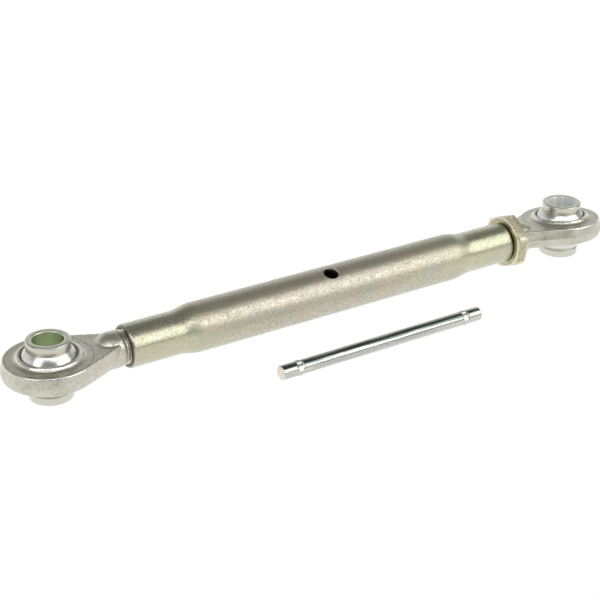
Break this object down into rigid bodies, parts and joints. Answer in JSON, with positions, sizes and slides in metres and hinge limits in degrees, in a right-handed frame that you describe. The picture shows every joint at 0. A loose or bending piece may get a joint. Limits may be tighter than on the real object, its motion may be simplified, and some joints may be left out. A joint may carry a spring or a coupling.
{
  "type": "tractor top link",
  "caption": "Turnbuckle top link for a tractor's three-point hitch: swaged tube, threaded ball ends, lock nut and a loose turning bar.",
  "frame": {"origin": "centre of the front ball, on the axis of its bore", "axes": "+X along the link from the front ball to the rear ball, +Z along the ball bores"},
  "size_m": [0.6116, 0.1208, 0.0528],
  "materials": {
    "tube_zinc": "yellow-tinted zinc plate over a fine drawn grain",
    "forged_zinc": "zinc plate over a shot-blasted forging",
    "ball_steel": "bright turned and plated",
    "nut_zinc": "yellow-tinted zinc plate",
    "bar_zinc": "blue-white zinc plate with fine draw marks"
  },
  "bodies": {
    "nut": {"lock_nut": "nut_zinc"},
    "tube": {"centre_tube": "tube_zinc"},
    "front_end": {"front_rod_end": "forged_zinc"},
    "rear_end": {"rear_rod_end": "forged_zinc"},
    "front_ball_body": {"front_ball": "ball_steel"},
    "rear_ball_body": {"rear_ball": "ball_steel"},
    "bar": {"turning_bar": "bar_zinc"}
  },
  "joints": [
    {"name": "tube_turn", "type": "hinge", "parent": "nut", "child": "tube", "pos_m": [0.263, 0, 0], "axis": [1, 0, 0], "range_deg": [0, 14400]},
    {"name": "front_screw", "type": "slide", "parent": "nut", "child": "front_end", "axis": [-1, 0, 0], "range_m": [0, 0.12]},
    {"name": "rear_screw", "type": "slide", "parent": "nut", "child": "rear_end", "axis": [1, 0, 0], "range_m": [0, 0.12]},
    {"name": "front_ball_tilt", "type": "hinge", "parent": "front_end", "child": "front_ball_body", "pos_m": [0, 0, 0], "axis": [0, 1, 0], "range_deg": [-15, 15]},
    {"name": "rear_ball_tilt", "type": "hinge", "parent": "rear_end", "child": "rear_ball_body", "pos_m": [0.534, 0, 0], "axis": [0, 1, 0], "range_deg": [-15, 15]},
    {"name": "bar_lift", "type": "slide", "parent": "nut", "child": "bar", "axis": [0, 0, 1], "range_m": [0, 0.08]}
  ],
  "couplings": [
    {"joint": "front_screw", "follows": "tube_turn", "m_per_rad": 0.00047746},
    {"joint": "rear_screw", "follows": "tube_turn", "m_per_rad": 0.00047746}
  ]
}
